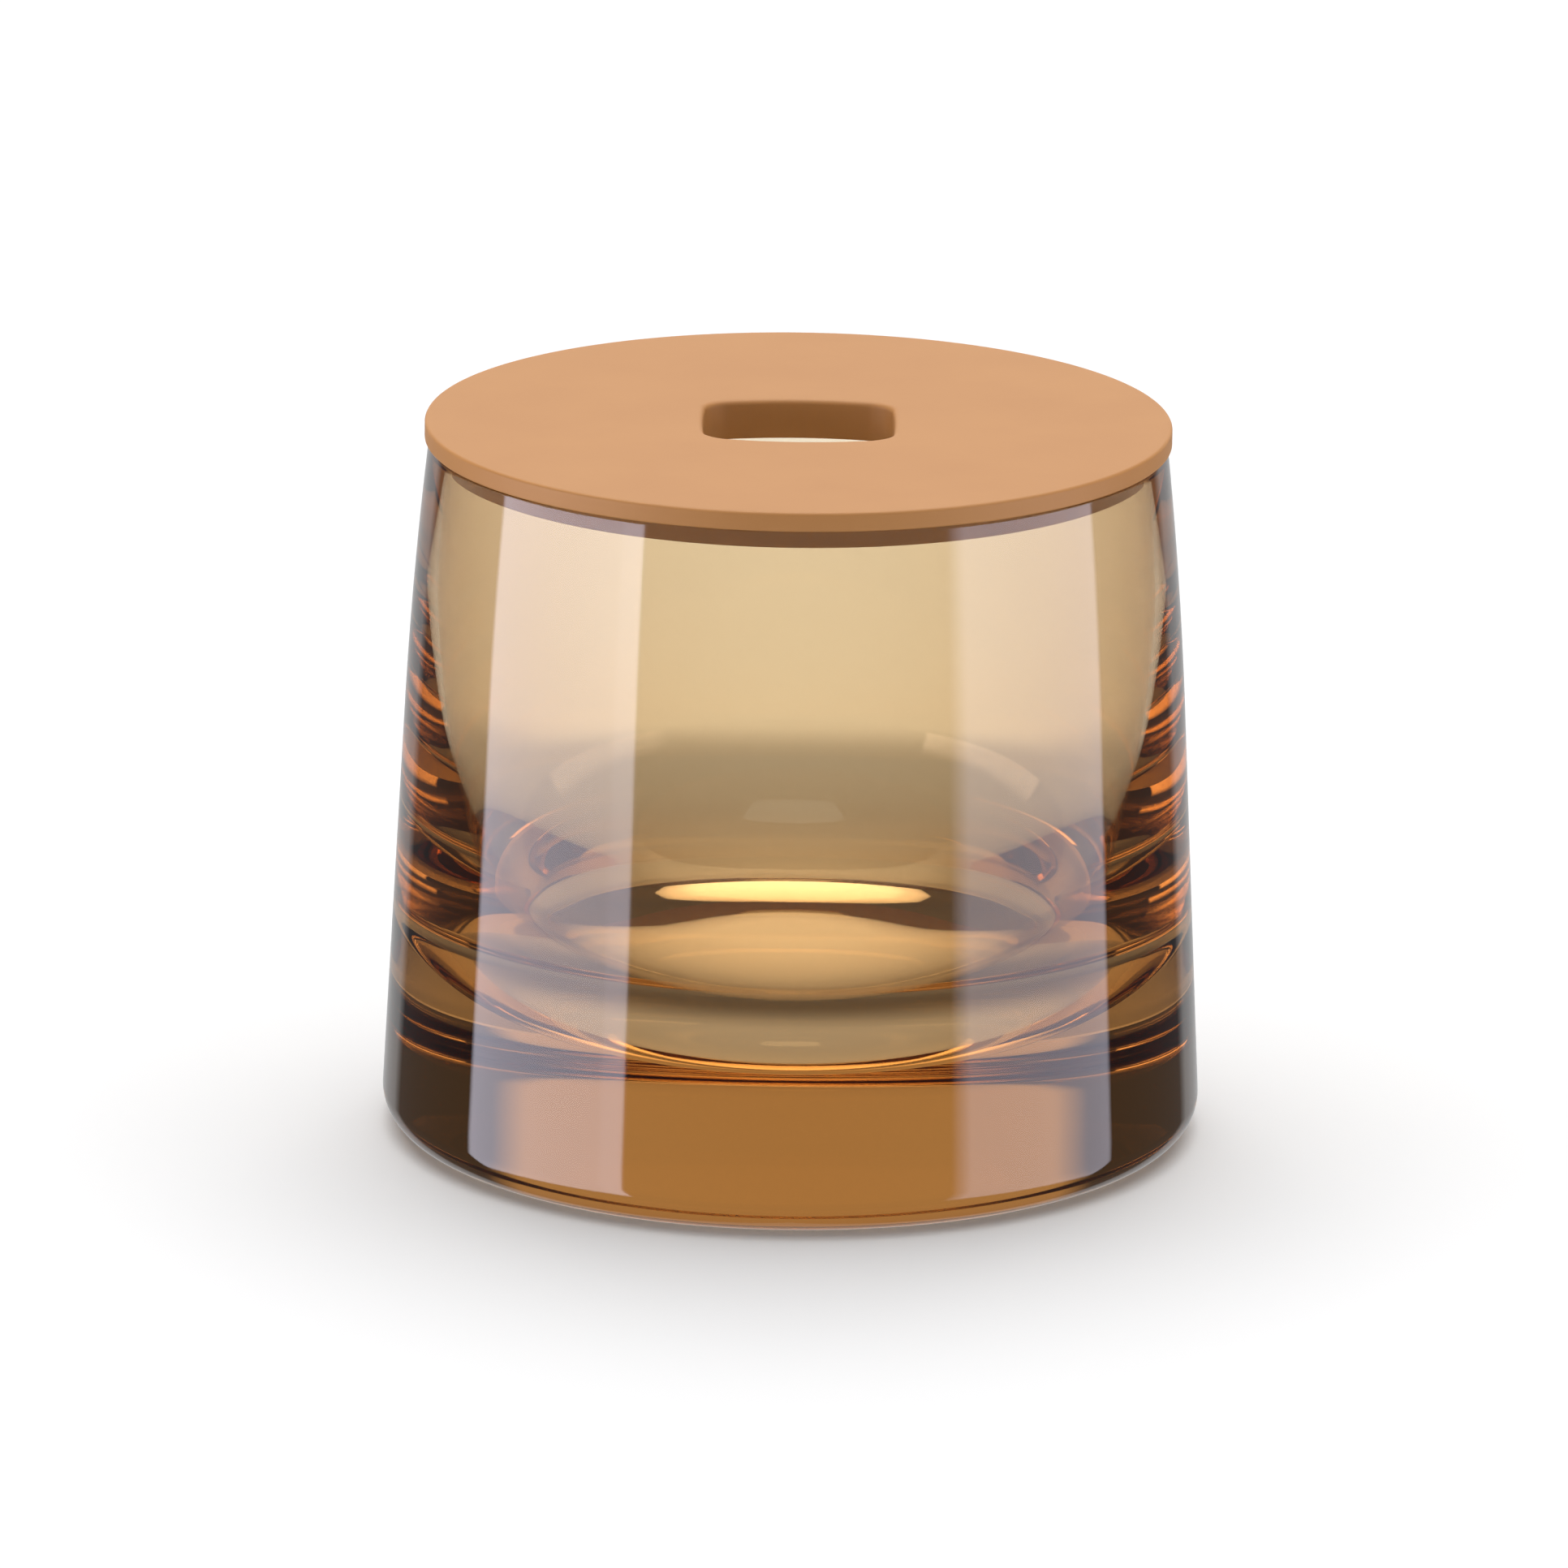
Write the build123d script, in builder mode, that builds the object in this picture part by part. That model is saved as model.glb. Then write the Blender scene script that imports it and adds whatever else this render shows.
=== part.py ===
"""Empty candle jar: a tapered, thick-based glass with a loose lid that has a finger hole.

The jar's axis is Z, the origin is the centre of the underside, and the lid sits on the rim.
The finger hole's wide side runs along X. All sizes are in millimetres and degrees.
"""
from build123d import *
import os
from math import asin, cos, degrees, radians, sin, tan

# --- Glass jar, outside -------------------------------------------------------------------
glass_height = 94.9
mouth_diameter = 98.8  # outside of the rim
side_taper = 2.95  # lean of the straight side, from vertical
shoulder_height = 58.0  # where the straight side starts to curve in
rim_lean = 6.6  # lean of the side at the rim, from vertical
foot_round = 5.0

# --- Glass jar, inside --------------------------------------------------------------------
rim_wall = 1.4
bore_flare = 2.2  # lean of the bore from vertical: it widens a little below the rim
bowl_height = 78.0  # the bore is straight above this and a bowl below it
bowl_radius = 185.0  # upright curve of the bowl's side
floor_thickness = 15.0  # solid glass under the bowl
floor_round = 30.0  # curve from the bowl's side into its floor
rim_round = min(0.6, 0.45 * rim_wall)

# --- Lid ----------------------------------------------------------------------------------
lid_overhang = 0.6  # how far the plate stands out past the rim
plate_thickness = 2.6
plug_depth = 2.8  # step that locates the lid inside the mouth
plug_clearance = 0.4  # between the step and the bore, all round
plate_top_round = 0.45
plate_bottom_round = 0.3
plug_round = 0.5

# --- Finger hole in the lid: a soft square with bowed sides ---------------------------------
hole_width = 25.6  # along X
hole_depth = 22.8  # along Y
hole_bow_front = 2.0  # how far the front and rear sides bow out
hole_bow_side = 0.4  # how far the left and right sides bow out
hole_corner = 4.5
hole_top_round = 0.8
hole_bottom_round = 0.3

# --- Worked out from the sizes above --------------------------------------------------------
mouth_radius = mouth_diameter / 2
bore_radius = mouth_radius - rim_wall
shoulder_rise = glass_height - shoulder_height
shoulder_curve = shoulder_rise / (sin(radians(rim_lean)) - sin(radians(side_taper)))
shoulder_radius = mouth_radius + shoulder_curve * (
    cos(radians(side_taper)) - cos(radians(rim_lean))
)
base_radius = shoulder_radius + shoulder_height * tan(radians(side_taper))
bowl_start = bore_radius + (glass_height - bowl_height) * tan(radians(bore_flare))
bowl_centre = (
    bowl_start - bowl_radius * cos(radians(bore_flare)),
    bowl_height - bowl_radius * sin(radians(bore_flare)),
)
bowl_turn = degrees(asin((bowl_centre[1] - floor_thickness) / bowl_radius))
plate_radius = mouth_radius + lid_overhang
plug_radius = bore_radius - plug_clearance
lid_top = glass_height + plate_thickness
plug_bottom = glass_height - plug_depth


def make_glass_jar():
    """One solid of revolution: foot, tapered side, curved shoulder, rim, bore and bowl."""
    with BuildPart() as jar:
        with BuildSketch(Plane.XZ):
            with BuildLine():
                underside = Line((0, 0), (base_radius, 0))
                side = Line(underside @ 1, (shoulder_radius, shoulder_height))
                shoulder = TangentArc(side @ 1, (mouth_radius, glass_height), tangent=side % 1)
                rim = Line(shoulder @ 1, (bore_radius, glass_height))
                bore = Line(rim @ 1, (bowl_start, bowl_height))
                bowl = CenterArc(bowl_centre, bowl_radius, bore_flare, -bore_flare - bowl_turn)
                floor = Line(bowl @ 1, (0, floor_thickness))
                Line(floor @ 1, underside @ 0)
            make_face()
            fillet(vertices().sort_by_distance(underside @ 1)[0], foot_round)
            fillet(vertices().sort_by_distance(bowl @ 1)[0], floor_round)
            fillet(vertices().sort_by_distance(rim @ 0)[0], rim_round)
            fillet(vertices().sort_by_distance(bore @ 0)[0], rim_round)
        revolve(axis=Axis.Z)
    jar.part.label = "glass_jar"
    return jar


def make_lid():
    """A flat round plate with a locating step under it and a finger hole right through."""
    with BuildPart() as lid:
        with BuildSketch(Plane.XY.offset(glass_height)):
            Circle(plate_radius)
        plate = extrude(amount=plate_thickness)
        plate_edges = plate.edges().filter_by(GeomType.CIRCLE)
        fillet(plate_edges.sort_by(Axis.Z)[-1], plate_top_round)
        fillet(lid.edges().filter_by(GeomType.CIRCLE).sort_by(Axis.Z)[0], plate_bottom_round)
        with BuildSketch(Plane.XY.offset(plug_bottom)):
            Circle(plug_radius)
        extrude(amount=plug_depth)
        fillet(lid.edges().filter_by(GeomType.CIRCLE).sort_by(Axis.Z)[0], plug_round)
        with BuildSketch(Plane.XY.offset(plug_bottom)):
            corner_x = hole_width / 2 - hole_bow_side
            corner_y = hole_depth / 2 - hole_bow_front
            with BuildLine():
                rear = ThreePointArc((-corner_x, corner_y), (0, hole_depth / 2), (corner_x, corner_y))
                right = ThreePointArc(rear @ 1, (hole_width / 2, 0), (corner_x, -corner_y))
                front = ThreePointArc(right @ 1, (0, -hole_depth / 2), (-corner_x, -corner_y))
                ThreePointArc(front @ 1, (-hole_width / 2, 0), rear @ 0)
            make_face()
            fillet(vertices(), hole_corner)
        extrude(amount=lid_top - plug_bottom, mode=Mode.SUBTRACT)
        hole_edges = lid.edges().filter_by_position(Axis.Y, -hole_depth, hole_depth)
        fillet(hole_edges.group_by(Axis.Z)[-1], hole_top_round)
        hole_edges = lid.edges().filter_by_position(Axis.Y, -hole_depth, hole_depth)
        fillet(hole_edges.group_by(Axis.Z)[0], hole_bottom_round)
    lid.part.label = "lid"
    return lid


os.makedirs("parts", exist_ok=True)
glass_jar = make_glass_jar()
export_step(glass_jar.part, "parts/glass_jar.step")
lid = make_lid()
export_step(lid.part, "parts/lid.step")

print(f"base diameter {2 * base_radius:.2f}, lid diameter {2 * plate_radius:.2f}")
print(f"overall height {lid_top:.2f}, rim wall {rim_wall:.2f}")
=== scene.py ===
# %% [markdown]
# # An empty candle jar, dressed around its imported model
#
# The jar is two things: a heavy amber glass, lathe-round, thin at the rim and solid at the foot, and a
# loose matte lid with a soft-square finger hole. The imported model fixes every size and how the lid
# lifts. This file only makes the surfaces that are looked at: a fine smooth glass, a fine lid, their
# materials, and a small studio to see them in.

# %% Load the frame
from math import asin, atan2, cos, pi, radians, sin, tan

import bmesh
import bpy
from mathutils import Matrix, Vector


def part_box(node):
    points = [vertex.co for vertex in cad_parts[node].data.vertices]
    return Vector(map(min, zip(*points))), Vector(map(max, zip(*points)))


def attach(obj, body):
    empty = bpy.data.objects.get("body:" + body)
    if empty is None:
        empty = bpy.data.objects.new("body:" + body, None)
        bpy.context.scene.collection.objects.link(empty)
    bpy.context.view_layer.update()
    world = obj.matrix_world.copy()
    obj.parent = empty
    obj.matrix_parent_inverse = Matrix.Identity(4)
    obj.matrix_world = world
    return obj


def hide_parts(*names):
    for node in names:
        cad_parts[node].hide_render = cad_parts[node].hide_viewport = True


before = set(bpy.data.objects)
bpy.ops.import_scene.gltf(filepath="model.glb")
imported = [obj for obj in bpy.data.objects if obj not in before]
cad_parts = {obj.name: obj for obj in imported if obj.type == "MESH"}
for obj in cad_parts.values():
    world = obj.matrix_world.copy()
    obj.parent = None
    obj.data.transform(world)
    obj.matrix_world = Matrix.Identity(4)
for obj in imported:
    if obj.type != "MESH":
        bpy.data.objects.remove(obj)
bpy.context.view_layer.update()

MM = 0.001

# %% [markdown]
# ## The sizes that the frame gives
#
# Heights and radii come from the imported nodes, so that the pieces made here cannot drift from the
# model. Only what a box cannot tell, such as the lean of a wall or the radius of an edge, is a value
# of this file's own.

# %% Read heights and radii from the frame
_, jar_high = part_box("glass_jar")
lid_low, lid_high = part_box("lid")
rim_z = jar_high.z
lid_top_z = lid_high.z
plug_z = lid_low.z
plate_radius = lid_high.x
print(f"rim at {rim_z / MM:.2f} mm, lid top at {lid_top_z / MM:.2f} mm")
print(f"plate radius {plate_radius / MM:.2f} mm")

# %% [markdown]
# ## The glass's section
#
# A turned or pressed glass is described by half of its section: the outline from the middle of the
# underside, round the foot, up the side, over the rim, down the bore and round the bowl to the middle
# of the floor. Every stretch is a straight line or an arc that runs smoothly into the next, so a few
# sizes give the whole outline, and the arcs can be sampled as finely as clear glass needs.

# %% The section's sizes
LID_OVERHANG = 0.6 * MM
SIDE_TAPER = radians(2.95)
SHOULDER_Z = 58.0 * MM
RIM_LEAN = radians(6.6)
FOOT_ROUND = 5.0 * MM
RIM_WALL = 1.4 * MM
RIM_ROUND = 0.6 * MM
BORE_FLARE = radians(2.2)
BOWL_Z = 78.0 * MM
BOWL_RADIUS = 185.0 * MM
FLOOR_Z = 15.0 * MM
FLOOR_ROUND = 30.0 * MM

mouth_radius = plate_radius - LID_OVERHANG
bore_radius = mouth_radius - RIM_WALL
print(f"mouth radius {mouth_radius / MM:.2f} mm, bore radius {bore_radius / MM:.2f} mm")

# %% [markdown]
# ## Points along the section
#
# An arc is shown by short straight steps. Clear glass shows each step as a facet, because it bends and
# mirrors what is behind it, so the bowl and its floor get many more steps than a dull piece would need.

# %% Sample the section
UNDERSIDE_STEPS, FOOT_STEPS, SIDE_STEPS, SHOULDER_STEPS = 8, 24, 24, 30
LIP_STEPS, BORE_STEPS, BOWL_STEPS, FLOOR_ROUND_STEPS, FLOOR_STEPS = 8, 16, 40, 60, 6


def arc(centre, radius, start, end, steps):
    """Points (radius, height) along an arc, both ends included."""
    turns = [start + (end - start) * i / steps for i in range(steps + 1)]
    return [(centre[0] + radius * cos(t), centre[1] + radius * sin(t)) for t in turns]


def line(start, end, steps):
    """Points strictly between two ends, evenly spaced."""
    shares = [i / steps for i in range(1, steps)]
    return [(start[0] + (end[0] - start[0]) * s, start[1] + (end[1] - start[1]) * s) for s in shares]


def glass_section():
    """The jar's half outline from the underside's middle to the floor's middle."""
    shoulder_curve = (rim_z - SHOULDER_Z) / (sin(RIM_LEAN) - sin(SIDE_TAPER))
    shoulder_radius = mouth_radius + shoulder_curve * (cos(SIDE_TAPER) - cos(RIM_LEAN))
    base_radius = shoulder_radius + SHOULDER_Z * tan(SIDE_TAPER)
    shoulder_centre = (
        shoulder_radius - shoulder_curve * cos(SIDE_TAPER),
        SHOULDER_Z - shoulder_curve * sin(SIDE_TAPER),
    )
    foot_centre = (base_radius - FOOT_ROUND * (1 + sin(SIDE_TAPER)) / cos(SIDE_TAPER), FOOT_ROUND)
    lip_outer = (mouth_radius - RIM_ROUND * (1 - sin(RIM_LEAN)) / cos(RIM_LEAN), rim_z - RIM_ROUND)
    lip_inner = (bore_radius + RIM_ROUND * (1 + sin(BORE_FLARE)) / cos(BORE_FLARE), rim_z - RIM_ROUND)
    lip_share = asin(min(1, (lip_outer[1] - shoulder_centre[1]) / shoulder_curve))
    bowl_start = bore_radius + (rim_z - BOWL_Z) * tan(BORE_FLARE)
    side_bowl = (bowl_start - BOWL_RADIUS * cos(BORE_FLARE), BOWL_Z - BOWL_RADIUS * sin(BORE_FLARE))
    fall = side_bowl[1] - FLOOR_Z - FLOOR_ROUND
    reach = BOWL_RADIUS - FLOOR_ROUND
    floor_centre = (side_bowl[0] + (reach**2 - fall**2) ** 0.5, FLOOR_Z + FLOOR_ROUND)
    meet = -asin(fall / reach)

    foot = arc(foot_centre, FOOT_ROUND, -pi / 2, SIDE_TAPER, FOOT_STEPS)
    shoulder = arc(shoulder_centre, shoulder_curve, SIDE_TAPER, lip_share, SHOULDER_STEPS)
    lip = arc(lip_outer, RIM_ROUND, RIM_LEAN, pi / 2, LIP_STEPS)
    lip += arc(lip_inner, RIM_ROUND, pi / 2, pi + BORE_FLARE, LIP_STEPS)
    bowl = arc(side_bowl, BOWL_RADIUS, BORE_FLARE, meet, BOWL_STEPS)
    bowl += arc(floor_centre, FLOOR_ROUND, meet, -pi / 2, FLOOR_ROUND_STEPS)[1:]
    points = [(0, 0)] + line((0, 0), foot[0], UNDERSIDE_STEPS) + foot
    points += line(foot[-1], shoulder[0], SIDE_STEPS) + shoulder + lip
    points += line(lip[-1], bowl[0], BORE_STEPS) + bowl
    points += line(bowl[-1], (0, FLOOR_Z), FLOOR_STEPS) + [(0, FLOOR_Z)]
    return points


section = glass_section()
print(f"{len(section)} section points, widest {max(r for r, z in section) / MM:.2f} mm")

# %% [markdown]
# ## A lathe made of nodes
#
# A lathe follows a rule: every point of the section goes round the axis. The Screw modifier can do it,
# and so can a script, but a small node tree shows the rule itself. A grid has one column for each
# section point and one row for each step of the turn. Each grid point looks up its section point and is
# turned about Z by its row's angle. Merging by distance closes the seam and the two poles.


# %% Build the lathe tree
def socket_id(tree, name):
    """The identifier of a tree's input, which a modifier needs to set it."""
    return next(s.identifier for s in tree.interface.items_tree if s.name == name and s.in_out == "INPUT")


def math_node(tree, operation, first, second=None):
    """A Math node with its inputs linked or set, and its output."""
    node = tree.nodes.new("ShaderNodeMath")
    node.operation = operation
    for i, value in enumerate((first, second)):
        if value is None:
            continue
        if isinstance(value, (int, float)):
            node.inputs[i].default_value = value
        else:
            tree.links.new(value, node.inputs[i])
    return node.outputs[0]


def lathe_tree():
    """A node group that turns a section line about Z into a closed solid."""
    tree = bpy.data.node_groups.new("lathe_a_section", "GeometryNodeTree")
    inputs = {"Section": "Geometry", "Segments": "Int", "Merge distance": "Float", "Glass": "Material"}
    for name, kind in inputs.items():
        tree.interface.new_socket(name, in_out="INPUT", socket_type="NodeSocket" + kind)
    tree.interface.new_socket("Solid", in_out="OUTPUT", socket_type="NodeSocketGeometry")
    new, link = tree.nodes.new, tree.links.new
    given, made = new("NodeGroupInput"), new("NodeGroupOutput")

    size = new("GeometryNodeAttributeDomainSize")
    link(given.outputs["Section"], size.inputs["Geometry"])
    rows = math_node(tree, "ADD", given.outputs["Segments"], 1)
    grid = new("GeometryNodeMeshGrid")
    link(size.outputs["Point Count"], grid.inputs["Vertices X"])
    link(rows, grid.inputs["Vertices Y"])

    index = new("GeometryNodeInputIndex").outputs[0]
    column = math_node(tree, "FLOOR", math_node(tree, "DIVIDE", math_node(tree, "ADD", index, 0.5), rows))
    row = math_node(tree, "SUBTRACT", index, math_node(tree, "MULTIPLY", column, rows))
    turn = math_node(tree, "MULTIPLY", math_node(tree, "DIVIDE", row, given.outputs["Segments"]), 2 * pi)

    look_up = new("GeometryNodeSampleIndex")
    look_up.data_type = "FLOAT_VECTOR"
    link(given.outputs["Section"], look_up.inputs["Geometry"])
    link(new("GeometryNodeInputPosition").outputs[0], look_up.inputs["Value"])
    link(column, look_up.inputs["Index"])
    turned = new("ShaderNodeVectorRotate")
    turned.rotation_type = "Z_AXIS"
    link(look_up.outputs["Value"], turned.inputs["Vector"])
    link(turn, turned.inputs["Angle"])
    place = new("GeometryNodeSetPosition")
    link(grid.outputs["Mesh"], place.inputs["Geometry"])
    link(turned.outputs["Vector"], place.inputs["Position"])

    merge = new("GeometryNodeMergeByDistance")
    link(place.outputs["Geometry"], merge.inputs["Geometry"])
    link(given.outputs["Merge distance"], merge.inputs["Distance"])
    smooth = new("GeometryNodeSetShadeSmooth")
    link(merge.outputs["Geometry"], smooth.inputs["Geometry"])
    real = new("GeometryNodeRealizeInstances")
    link(smooth.outputs["Geometry"], real.inputs["Geometry"])
    finish = new("GeometryNodeSetMaterial")
    link(real.outputs["Geometry"], finish.inputs["Geometry"])
    link(given.outputs["Glass"], finish.inputs["Material"])
    link(finish.outputs["Geometry"], made.inputs["Solid"])
    return tree


LATHE = lathe_tree()
print("lathe tree has", len(LATHE.nodes), "nodes")

# %% [markdown]
# ## The glass itself
#
# The tint is mostly a thin amber lustre on the surface of the glass, which colours every ray that goes
# through it, and a little colour in the glass, which turns the thick base a deeper orange-brown. The
# first is the shader's base colour and the second is a volume absorption, whose density is per metre.
# A ray that crosses a thin layer at a slant has further to go in it, so the lustre deepens towards the
# edges of the jar: a Layer Weight node mixes in the deeper colour by the angle.

# %% Amber glass
AMBER_LUSTRE = (0.89, 0.785, 0.61, 1)
AMBER_EDGE = (0.54, 0.36, 0.19, 1)
AMBER_BODY = (0.71, 0.46, 0.04, 1)
AMBER_DENSITY = 26.0
GLASS_IOR = 1.5


def amber_glass():
    """Clear glass with an amber skin and a slightly amber body."""
    material = bpy.data.materials.new("amber_glass")
    material.use_nodes = True
    tree = material.node_tree
    shader = tree.nodes["Principled BSDF"]
    slant = tree.nodes.new("ShaderNodeLayerWeight")
    skin = tree.nodes.new("ShaderNodeMix")
    skin.data_type = "RGBA"
    skin.inputs["A"].default_value = AMBER_LUSTRE
    skin.inputs["B"].default_value = AMBER_EDGE
    tree.links.new(slant.outputs["Facing"], skin.inputs["Factor"])
    tree.links.new(skin.outputs["Result"], shader.inputs["Base Color"])
    shader.inputs["Transmission Weight"].default_value = 1
    shader.inputs["Roughness"].default_value = 0
    shader.inputs["IOR"].default_value = GLASS_IOR
    body = tree.nodes.new("ShaderNodeVolumeAbsorption")
    body.inputs["Color"].default_value = AMBER_BODY
    body.inputs["Density"].default_value = AMBER_DENSITY
    tree.links.new(body.outputs["Volume"], tree.nodes["Material Output"].inputs["Volume"])
    return material


glass_material = amber_glass()
print("glass material:", glass_material.name)

# %% [markdown]
# ## Turning the jar
#
# The section becomes a mesh of points and edges, the lathe tree turns it, and the result is kept as a
# plain mesh, because the modifier has done its work and the finished piece should not depend on it.

# %% Turn the jar
TURN_STEPS = 256
MERGE = 0.001 * MM


def placed(name, data):
    """A new object in the scene."""
    made = bpy.data.objects.new(name, data)
    bpy.context.scene.collection.objects.link(made)
    return made


def section_line(points):
    """The section as a mesh of points joined by edges, in the XZ plane."""
    mesh = bpy.data.meshes.new("glass_section")
    mesh.from_pydata([(r, 0, z) for r, z in points], [(i, i + 1) for i in range(len(points) - 1)], [])
    return mesh


def plain_mesh(maker, name):
    """The evaluated result of an object's modifiers as a plain mesh object; the maker is removed."""
    graph = bpy.context.evaluated_depsgraph_get()
    mesh = bpy.data.meshes.new_from_object(maker.evaluated_get(graph), depsgraph=graph)
    mesh.name = name
    maker.modifiers.clear()
    bpy.data.objects.remove(maker)
    return placed(name, mesh)


def turn_jar():
    """The whole glass as one closed smooth mesh."""
    maker = placed("jar_maker", section_line(section))
    lathe = maker.modifiers.new("lathe", "NODES")
    lathe.node_group = LATHE
    lathe[socket_id(LATHE, "Segments")] = TURN_STEPS
    lathe[socket_id(LATHE, "Merge distance")] = MERGE
    lathe[socket_id(LATHE, "Glass")] = glass_material
    return plain_mesh(maker, "glass_vessel")


glass_vessel = turn_jar()
print("glass:", len(glass_vessel.data.vertices), "points,", len(glass_vessel.data.polygons), "faces")

# %% [markdown]
# ## A closed solid
#
# Glass only bends light rightly when it is one closed skin whose faces all point out. Every edge of such
# a skin has two faces, and its volume is the real one, so both are measured and printed.


# %% Check the glass is closed and points outwards
def tidy_normals(piece):
    """Makes every face point out of the solid and reports any open edge."""
    work = bmesh.new()
    work.from_mesh(piece.data)
    bmesh.ops.recalc_face_normals(work, faces=work.faces)
    open_edges = sum(1 for e in work.edges if len(e.link_faces) != 2)
    volume = work.calc_volume(signed=True)
    work.to_mesh(piece.data)
    work.free()
    print(f"{piece.name}: {open_edges} open edges, volume {volume / MM**3 / 1000:.1f} ml")


tidy_normals(glass_vessel)
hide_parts("glass_jar")
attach(glass_vessel, "jar")

# %% [markdown]
# ## The lid
#
# The lid is a cast disc: a thin plate, a step under it that drops into the mouth, and a soft-square
# finger hole. All its surfaces are rings of the same number of points, each either the hole's outline,
# moved out by some amount, or a circle. Joining each ring to the next makes one closed solid of quads.

# %% The lid's sizes
HOLE_WIDTH = 25.6 * MM
HOLE_DEPTH = 22.8 * MM
HOLE_BOW_FRONT = 2.0 * MM
HOLE_BOW_SIDE = 0.4 * MM
HOLE_CORNER = 4.5 * MM
HOLE_TOP_ROUND = 0.8 * MM
HOLE_BOTTOM_ROUND = 0.3 * MM
PLUG_CLEARANCE = 0.4 * MM
PLUG_ROUND = 0.5 * MM
PLATE_TOP_ROUND = 0.45 * MM
PLATE_BOTTOM_ROUND = 0.3 * MM
plug_radius = bore_radius - PLUG_CLEARANCE
print(f"step radius {plug_radius / MM:.2f} mm")

# %% [markdown]
# ## The finger hole's outline
#
# The hole is a square gone soft: four sides that bow out a little and four round corners. Each side is a
# wide arc, and the corner's arc touches both from inside, which fixes its centre. One quarter is worked
# out and mirrored. Each point keeps its outward direction, so the outline can be moved out evenly.

# %% Draw the finger hole's outline
OUTLINE_STEPS = 96  # points in a quarter


def bow_radius(chord, rise):
    """Radius of the arc that bows out by rise over a chord."""
    return (chord**2 / 4 + rise**2) / (2 * rise)


def hole_quarter(steps):
    """The first quarter of the hole's outline with its outward normals: side arc, corner, rear arc."""
    corner_x = HOLE_WIDTH / 2 - HOLE_BOW_SIDE
    corner_y = HOLE_DEPTH / 2 - HOLE_BOW_FRONT
    side = bow_radius(2 * corner_y, HOLE_BOW_SIDE)
    rear = bow_radius(2 * corner_x, HOLE_BOW_FRONT)
    side_centre = Vector((HOLE_WIDTH / 2 - side, 0))
    rear_centre = Vector((0, HOLE_DEPTH / 2 - rear))
    gap = rear_centre - side_centre
    reach_side, reach_rear = side - HOLE_CORNER, rear - HOLE_CORNER
    along = (gap.length_squared + reach_side**2 - reach_rear**2) / (2 * gap.length)
    across = (reach_side**2 - along**2) ** 0.5
    unit = gap.normalized()
    corner = side_centre + unit * along + Vector((unit.y, -unit.x)) * across
    if corner.x < 0 or corner.y < 0:
        corner = side_centre + unit * along - Vector((unit.y, -unit.x)) * across
    side_end = atan2(corner.y - side_centre.y, corner.x - side_centre.x)
    rear_start = atan2(corner.y - rear_centre.y, corner.x - rear_centre.x)
    stretches = (
        (side_centre, side, 0, side_end, steps // 4),
        (corner, HOLE_CORNER, side_end, rear_start, steps // 2),
        (rear_centre, rear, rear_start, pi / 2, steps // 4),
    )
    points = []
    for centre, radius, start, end, count in stretches:
        for i in range(count):
            turn = start + (end - start) * i / count
            normal = Vector((cos(turn), sin(turn)))
            points.append((centre + normal * radius, normal))
    return points


def mirrored(points, flip_x, flip_y):
    """Outline points and normals mirrored across the axes."""
    scale = Vector((-1 if flip_x else 1, -1 if flip_y else 1))
    return [(p * scale, n * scale) for p, n in points]


def hole_outline(steps):
    """The whole outline, anticlockwise, as (point, outward normal) pairs."""
    quarter = hole_quarter(steps)
    rear_end = [(Vector((0, HOLE_DEPTH / 2)), Vector((0, 1)))]
    closed = quarter + rear_end
    first = closed[:-1]
    second = mirrored(closed, True, False)[::-1][:-1]
    third = mirrored(closed, True, True)[:-1]
    fourth = mirrored(closed, False, True)[::-1][:-1]
    return first + second + third + fourth


outline = hole_outline(OUTLINE_STEPS)
print("hole outline:", len(outline), "points")

# %% [markdown]
# ## The lid's rings
#
# Going round the lid's skin from the foot of the hole, over the top, round the rim and back underneath,
# each rounded edge is a fan of rings. A ring close beside an edge keeps the flat next to it flat, so the
# shading doesn't spread from the rounding on to the plate.

# %% Lay out the lid's rings
FLAT_HOLD = 0.25 * MM  # from an edge to the ring that keeps the flat beside it flat
EDGE_STEPS = 8
PLATE_SHARES = (0.5, 0.7, 0.9)  # circles on the plate's top, as shares of its radius
SHARP_ANGLE = radians(40)


def hole_ring(offset, z):
    """The hole's outline moved outwards by offset, at height z."""
    return [(p.x + n.x * offset, p.y + n.y * offset, z) for p, n in outline]


def round_ring(radius, z):
    """A circle with a point in the direction of each point of the hole's outline."""
    turns = [atan2(p.y, p.x) for p, n in outline]
    return [(radius * cos(t), radius * sin(t), z) for t in turns]


def edge_rings(ring, inner, z, rounding, from_turn, to_turn):
    """Rings along a rounded edge whose arc has its centre at (inner, z)."""
    turns = [from_turn + (to_turn - from_turn) * i / EDGE_STEPS for i in range(EDGE_STEPS + 1)]
    return [ring(inner + rounding * cos(t), z + rounding * sin(t)) for t in turns]


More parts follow.
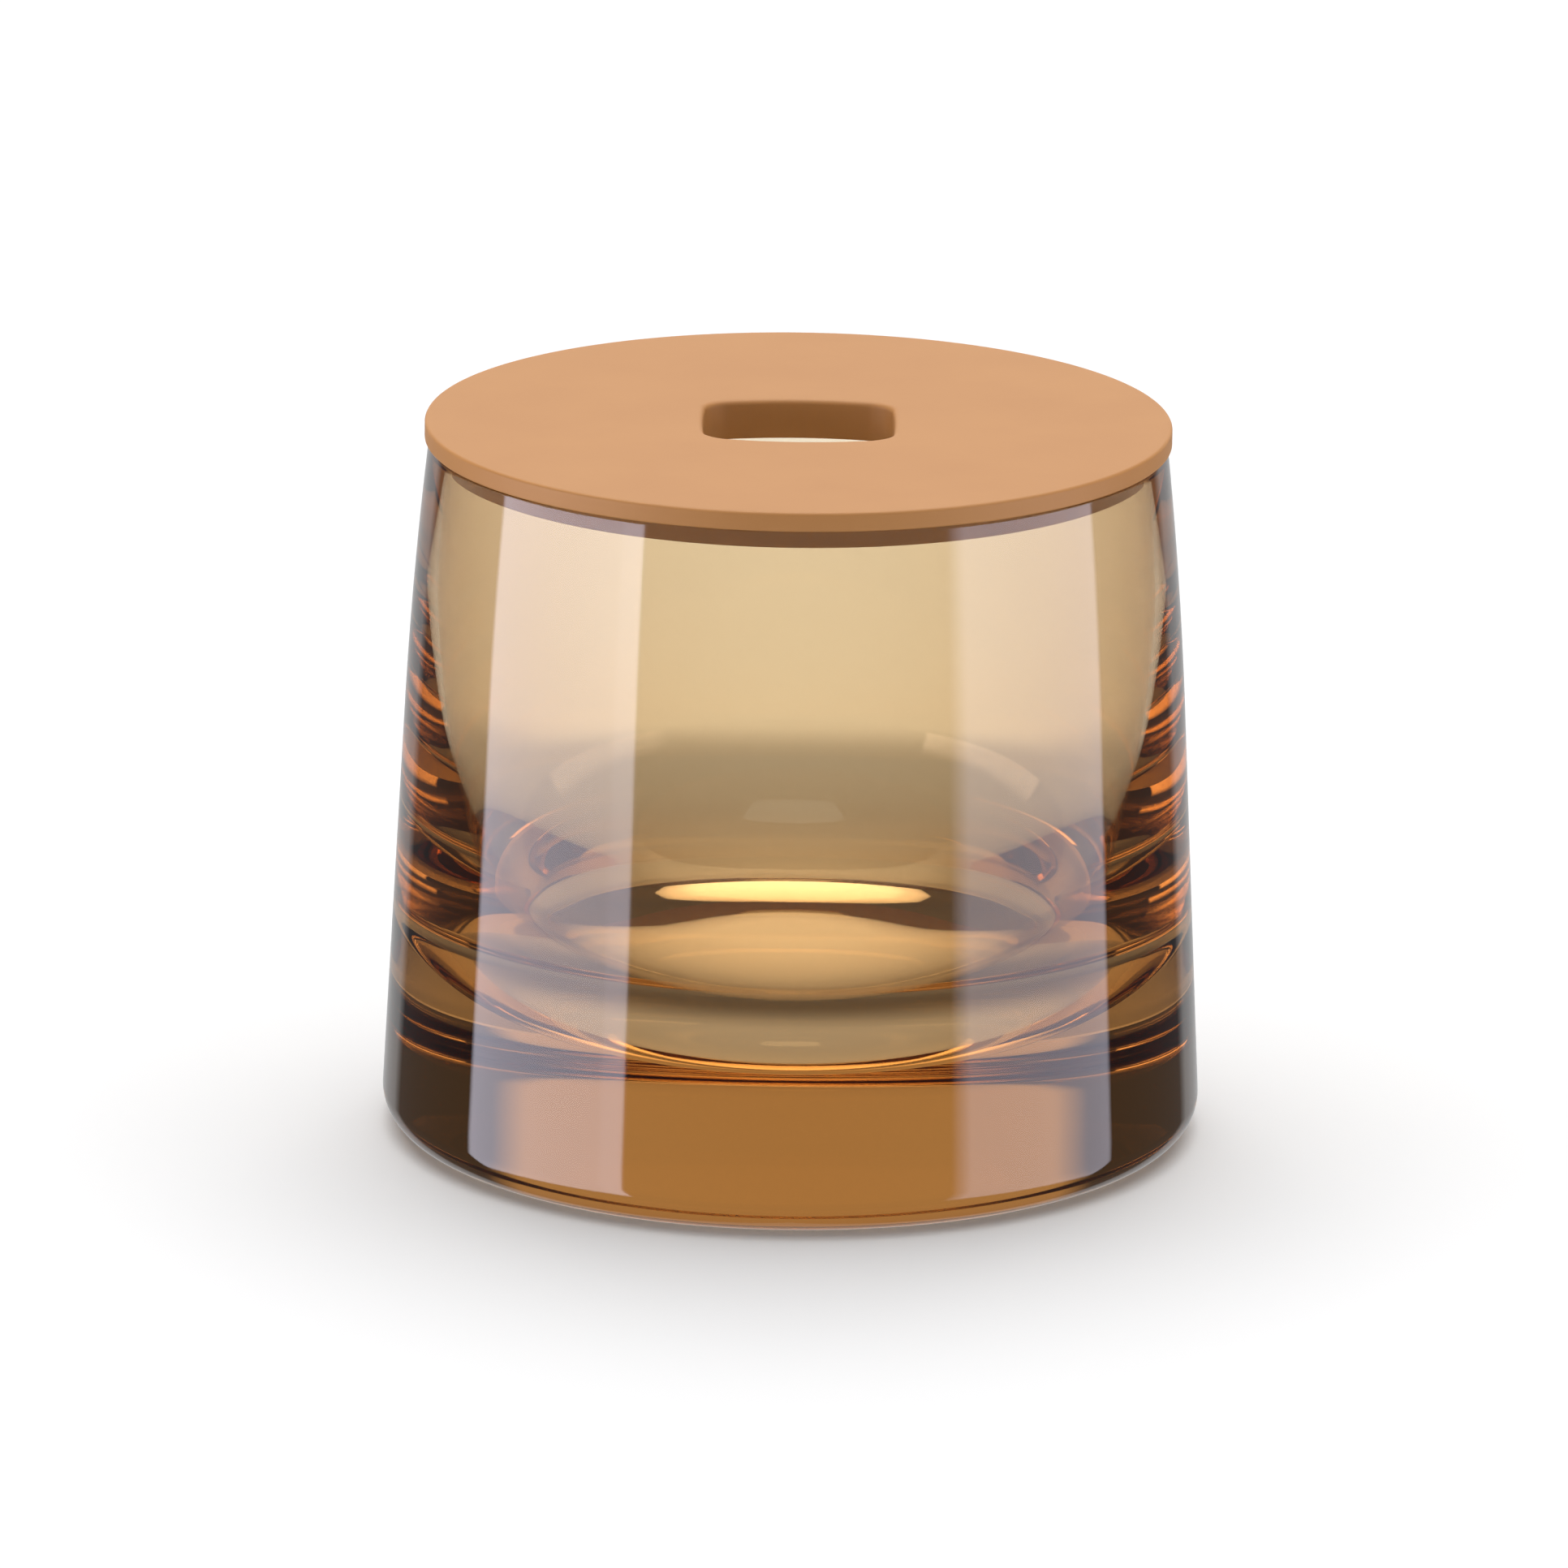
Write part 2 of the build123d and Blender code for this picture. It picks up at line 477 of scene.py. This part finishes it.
def lid_rings():
    """All rings in order: hole wall upwards, top, rim, underside of the plate, step, underside."""
    plate_flat = plate_radius - PLATE_TOP_ROUND
    plate_low = plate_radius - PLATE_BOTTOM_ROUND
    plug_flat = plug_radius - PLUG_ROUND
    hole_low_z = plug_z + HOLE_BOTTOM_ROUND
    rings = edge_rings(hole_ring, HOLE_BOTTOM_ROUND, hole_low_z, HOLE_BOTTOM_ROUND, -pi / 2, -pi)
    rings += edge_rings(hole_ring, HOLE_TOP_ROUND, lid_top_z - HOLE_TOP_ROUND, HOLE_TOP_ROUND, pi, pi / 2)
    rings += [hole_ring(HOLE_TOP_ROUND + hold, lid_top_z) for hold in (FLAT_HOLD, 8 * FLAT_HOLD)]
    rings += [round_ring(plate_flat * share, lid_top_z) for share in PLATE_SHARES]
    rings += [round_ring(plate_flat - FLAT_HOLD, lid_top_z)]
    rings += edge_rings(round_ring, plate_flat, lid_top_z - PLATE_TOP_ROUND, PLATE_TOP_ROUND, pi / 2, 0)
    rings += edge_rings(round_ring, plate_low, rim_z + PLATE_BOTTOM_ROUND, PLATE_BOTTOM_ROUND, 0, -pi / 2)
    rings += [round_ring(plate_low - FLAT_HOLD, rim_z), round_ring(plug_radius, rim_z)]
    rings += edge_rings(round_ring, plug_flat, plug_z + PLUG_ROUND, PLUG_ROUND, 0, -pi / 2)
    rings += [round_ring(plug_flat - FLAT_HOLD, plug_z)]
    rings += [hole_ring(HOLE_BOTTOM_ROUND + FLAT_HOLD, plug_z)]
    return rings


def closed_rings(name, rings):
    """A closed solid of quads that joins each ring to the next and the last to the first."""
    count = len(rings[0])
    faces = []
    for i in range(len(rings)):
        here, there = i * count, (i + 1) % len(rings) * count
        pairs = [(j, (j + 1) % count) for j in range(count)]
        faces += [(here + j, here + k, there + k, there + j) for j, k in pairs]
    mesh = bpy.data.meshes.new(name)
    mesh.from_pydata([p for ring in rings for p in ring], [], faces)
    return placed(name, mesh)


lid_disc = closed_rings("lid_disc", lid_rings())
tidy_normals(lid_disc)
lid_disc.data.shade_smooth()
lid_disc.data.set_sharp_from_angle(angle=SHARP_ANGLE)

# %% [markdown]
# ## The lid's finish
#
# The lid is dull and warm, with no pattern: fired clay or a cast lookalike. One flat colour would look
# like plastic, so a slow noise shifts the tone very slightly and a fine one roughens the surface. Both
# are read on the piece's own coordinates, so they stay put when the lid lifts.

# %% Lid stoneware
STONE_ROUGHNESS = 0.55
STONE_DARK, STONE_LIGHT = (0.478, 0.210, 0.056, 1), (0.496, 0.222, 0.061, 1)
CLOUD_SCALE, CLOUD_DETAIL = 60, 4
CLOUD_SPREAD = (0.35, 0.65)
GRAIN_SCALE, GRAIN_DETAIL = 2600, 2
GRAIN_STRENGTH, GRAIN_DEPTH = 0.15, 0.02 * MM


def noise(tree, scale, detail, where):
    """A noise pattern on the given coordinates."""
    pattern = tree.nodes.new("ShaderNodeTexNoise")
    pattern.inputs["Scale"].default_value = scale
    pattern.inputs["Detail"].default_value = detail
    tree.links.new(where, pattern.inputs["Vector"])
    return pattern.outputs["Fac"]


def stoneware():
    """Matte caramel stoneware with a faint cloudiness and a very fine grain."""
    material = bpy.data.materials.new("caramel_stoneware")
    material.use_nodes = True
    tree = material.node_tree
    new, link = tree.nodes.new, tree.links.new
    shader = tree.nodes["Principled BSDF"]
    shader.inputs["Roughness"].default_value = STONE_ROUGHNESS
    where = new("ShaderNodeTexCoord").outputs["Object"]

    clouds = noise(tree, CLOUD_SCALE, CLOUD_DETAIL, where)
    tone = new("ShaderNodeValToRGB")
    for stop, position, colour in zip(tone.color_ramp.elements, CLOUD_SPREAD, (STONE_DARK, STONE_LIGHT)):
        stop.position = position
        stop.color = colour
    link(clouds, tone.inputs["Fac"])
    link(tone.outputs["Color"], shader.inputs["Base Color"])

    grain = noise(tree, GRAIN_SCALE, GRAIN_DETAIL, where)
    bump = new("ShaderNodeBump")
    bump.inputs["Strength"].default_value = GRAIN_STRENGTH
    bump.inputs["Distance"].default_value = GRAIN_DEPTH
    link(grain, bump.inputs["Height"])
    link(bump.outputs["Normal"], shader.inputs["Normal"])
    return material


lid_disc.data.materials.append(stoneware())
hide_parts("lid")
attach(lid_disc, "lid")
print("lid material:", lid_disc.data.materials[0].name)

# %% [markdown]
# ## The studio
#
# Glass shows what is round it, so the room matters as much as the material. Glass is usually lit with
# a white sheet behind it, a tall soft light on each side and darkness between them, which draws the
# edges. The sheet and lights here are painted into the world by direction, so that every view of the
# jar has them and nothing stands in a camera's way. Looked at directly, the world is plain white.

# %% The room's strengths and where its lights are
ROOM_DARK = 0.12
BACKDROP = 0.92
OVERHEAD = 3.6
SOFTBOX = 6.2
SOFTBOX_TINT = (0.88, 0.88, 1.05)

# Degrees round from the front of the jar, 0 to 180, and the brightness there.
LEFT_BOX = [(47, 0), (48, 1), (54, 1), (55, 0.9), (101, 0.9), (102.5, 0)]
RIGHT_BOX = [(46, 0), (52, 0.62), (101, 0.62), (102.5, 0)]
SHEET = [(144, 0), (150, 1)]
OVERHEAD_ROUND = [(70, 0.35), (110, 1)]

# Degrees above the horizon, -90 to 90, and the brightness there.
BOX_HEIGHT = [(-32, 0), (-28, 0.85), (-8, 0.9), (-3, 1), (8, 1), (14, 0)]
SHEET_HEIGHT = [(-12, 0.5), (-2, 1)]
OVERHEAD_HEIGHT = [(46, 0), (56, 1)]
print("softboxes from", LEFT_BOX[0][0], "to", LEFT_BOX[-1][0], "degrees, sheet from", SHEET[0][0])


# %% Paint the room into the world
def ramp_of(tree, value, stops):
    """A value looked up in a ramp of (position, brightness) stops."""
    ramp = tree.nodes.new("ShaderNodeValToRGB")
    for element, (position, level) in zip(ramp.color_ramp.elements, (stops[0], stops[-1])):
        element.position = position
        element.color = (level, level, level, 1)
    for position, level in stops[1:-1]:
        element = ramp.color_ramp.elements.new(position)
        element.color = (level, level, level, 1)
    tree.links.new(value, ramp.inputs["Fac"])
    return ramp.outputs["Color"]


def by_angle(stops):
    """Ramp stops given in degrees from the front of the jar, 0 to 180."""
    return [(angle / 180, level) for angle, level in stops]


def by_height(stops):
    """Ramp stops given in degrees above the horizon, -90 to 90."""
    return [((angle + 90) / 180, level) for angle, level in stops]


def studio_world():
    """Backdrop behind, a softbox at each side, soft light above the back, darkness between."""
    world = bpy.data.worlds.new("studio")
    world.use_nodes = True
    bpy.context.scene.world = world
    tree = world.node_tree
    new, link = tree.nodes.new, tree.links.new
    sky = tree.nodes["Background"]

    def times(first, second):
        return math_node(tree, "MULTIPLY", first, second)

    def plus(first, second):
        return math_node(tree, "ADD", first, second)

    split = new("ShaderNodeSeparateXYZ")
    link(new("ShaderNodeTexCoord").outputs["Generated"], split.inputs[0])
    x, y, z = split.outputs
    level_length = math_node(tree, "SQRT", plus(times(x, x), times(y, y)))
    front_share = math_node(tree, "DIVIDE", times(y, -1), level_length)
    around = math_node(tree, "DIVIDE", math_node(tree, "ARCCOSINE", front_share), pi)
    up = plus(math_node(tree, "DIVIDE", math_node(tree, "ARCSINE", z), pi), 0.5)
    left = math_node(tree, "LESS_THAN", x, 0)
    right = math_node(tree, "SUBTRACT", 1, left)

    left_box = ramp_of(tree, around, by_angle(LEFT_BOX))
    right_box = ramp_of(tree, around, by_angle(RIGHT_BOX))
    box_height = ramp_of(tree, up, by_height(BOX_HEIGHT))
    boxes = times(times(plus(times(left_box, left), times(right_box, right)), box_height), SOFTBOX)
    sheet_height = ramp_of(tree, up, by_height(SHEET_HEIGHT))
    sheet = times(times(ramp_of(tree, around, by_angle(SHEET)), sheet_height), BACKDROP)
    high = ramp_of(tree, up, by_height(OVERHEAD_HEIGHT))
    above = times(times(high, ramp_of(tree, around, by_angle(OVERHEAD_ROUND))), OVERHEAD)
    plain = plus(plus(sheet, above), ROOM_DARK)

    tinted = new("ShaderNodeVectorMath")
    tinted.operation = "MULTIPLY_ADD"
    link(boxes, tinted.inputs[0])
    tinted.inputs[1].default_value = SOFTBOX_TINT
    link(plain, tinted.inputs[2])
    seen = new("ShaderNodeMix")
    seen.data_type = "RGBA"
    link(new("ShaderNodeLightPath").outputs["Is Camera Ray"], seen.inputs["Factor"])
    link(tinted.outputs[0], seen.inputs["A"])
    seen.inputs["B"].default_value = (1, 1, 1, 1)
    link(seen.outputs["Result"], sky.inputs["Color"])
    return world


studio = studio_world()
print("world tree has", len(studio.node_tree.nodes), "nodes")

# %% [markdown]
# ## The floor
#
# A pale matt floor shows a soft shadow and keeps the jar from floating. Looked at directly, this one is
# even paint. A jar also shades the floor round it and gathers light under its thick foot, and both show
# through the glass. Here they are an effect painted on the floor as smooth steps of distance, which only
# rays that have met the jar or the lid see. Their sizes are given values, so they are not what a plain floor
# would give: with GLOW and FOOT_GLOW at 0 and FLOOR_SHADE at FLOOR_PAINT the floor is plain all through.

# %% The floor
FLOOR_SIDE = 8.0
FLOOR_GAP = 0.2 * MM
FLOOR_PAINT = 0.74
FLOOR_SHADE = 0.38
SHADE_INNER = 102 * MM
SHADE_OUTER = 129 * MM
FLOOR_LAMP = 0.10
GLOW = 1.1
GLOW_CENTRE = (0, 24 * MM, 0)
GLOW_INNER = 4 * MM
GLOW_OUTER = 50 * MM
FOOT_GLOW = 0.45
FOOT_INNER = 36 * MM
FOOT_OUTER = 50 * MM


def soft_step(tree, centre, near, far, inside, outside):
    """A value that changes smoothly with the distance from a point of the floor."""
    away = tree.nodes.new("ShaderNodeVectorMath")
    away.operation = "DISTANCE"
    tree.links.new(tree.nodes.new("ShaderNodeTexCoord").outputs["Object"], away.inputs[0])
    away.inputs[1].default_value = centre
    step = tree.nodes.new("ShaderNodeMapRange")
    step.interpolation_type = "SMOOTHSTEP"
    tree.links.new(away.outputs["Value"], step.inputs["Value"])
    for name, value in (("From Min", near), ("From Max", far), ("To Min", inside), ("To Max", outside)):
        step.inputs[name].default_value = value
    return step.outputs["Result"]


def floor_material():
    """Pale paint, with a painted shade and glow that only show through the glass."""
    material = bpy.data.materials.new("floor_white")
    material.use_nodes = True
    tree = material.node_tree
    shader = tree.nodes["Principled BSDF"]
    shader.inputs["Roughness"].default_value = 1
    shader.inputs["Specular IOR Level"].default_value = 0
    shader.inputs["Emission Color"].default_value = (1, 1, 1, 1)
    direct = tree.nodes.new("ShaderNodeLightPath").outputs["Is Camera Ray"]
    # painted shade: the floor is darker within about 0.1 m of the jar's axis, for every ray but a camera ray
    shade = soft_step(tree, (0, 0, 0), SHADE_INNER, SHADE_OUTER, FLOOR_SHADE, FLOOR_PAINT)
    paint = math_node(tree, "MAXIMUM", shade, math_node(tree, "MULTIPLY", direct, FLOOR_PAINT))
    tree.links.new(paint, shader.inputs["Base Color"])
    # painted glow: a bright spot behind the axis and a bright disc under the foot, for every ray but a
    # camera ray
    caught = soft_step(tree, GLOW_CENTRE, GLOW_INNER, GLOW_OUTER, GLOW, 0)
    under = soft_step(tree, (0, 0, 0), FOOT_INNER, FOOT_OUTER, FOOT_GLOW, 0)
    unseen = math_node(tree, "SUBTRACT", 1, direct)
    painted_glow = math_node(tree, "MULTIPLY", math_node(tree, "ADD", caught, under), unseen)
    glow = math_node(tree, "ADD", painted_glow, FLOOR_LAMP)
    tree.links.new(glow, shader.inputs["Emission Strength"])
    return material


def pale_floor():
    """A wide pale floor just under the jar, lit a little from below like a light table."""
    mesh = bpy.data.meshes.new("floor")
    half = FLOOR_SIDE / 2
    signs = ((-1, -1), (1, -1), (1, 1), (-1, 1))
    mesh.from_pydata([(half * x, half * y, -FLOOR_GAP) for x, y in signs], [], [(0, 1, 2, 3)])
    floor = placed("floor", mesh)
    mesh.materials.append(floor_material())
    floor.visible_glossy = False
    return floor


floor = pale_floor()
print("floor:", FLOOR_SIDE, "m wide,", len(floor.data.materials[0].node_tree.nodes), "nodes in its material")

# %% [markdown]
# ## The camera
#
# A long lens far off, a little above the jar, keeps its sides nearly straight. The camera is turned a
# touch about its own axis, as a hand-set one is. Light that is caught in the thick wall of the glass
# bounces many times before it leaves, so rays are allowed many bounces.

# %% Set the camera
CAMERA_ELEVATION = radians(15.54)
CAMERA_ROLL = radians(0.71)
CAMERA_DISTANCE = 1.845
CAMERA_LENS = 314.4
SENSOR_WIDTH = 36
FARTHEST = 20
AIM = Vector((-1.36, 0, 46.95)) * MM
MAX_BOUNCES, GLOSSY_BOUNCES, TRANSMISSION_BOUNCES = 32, 24, 24


def set_camera():
    """A long-lens camera in front of the jar, looking slightly down."""
    data = bpy.data.cameras.new("camera")
    data.lens = CAMERA_LENS
    data.sensor_width = SENSOR_WIDTH
    data.clip_end = FARTHEST
    camera = placed("camera", data)
    ahead = Vector((0, cos(CAMERA_ELEVATION), -sin(CAMERA_ELEVATION)))
    camera.matrix_world = (
        Matrix.Translation(AIM - ahead * CAMERA_DISTANCE)
        @ ahead.to_track_quat("-Z", "Y").to_matrix().to_4x4()
        @ Matrix.Rotation(CAMERA_ROLL, 4, "Z")
    )
    bpy.context.scene.camera = camera
    return camera


camera = set_camera()
bpy.context.scene.view_settings.view_transform = "Standard"
rays = bpy.context.scene.cycles
rays.max_bounces = MAX_BOUNCES
rays.glossy_bounces = GLOSSY_BOUNCES
rays.transmission_bounces = TRANSMISSION_BOUNCES
print("camera at", [round(c, 3) for c in camera.matrix_world.translation])
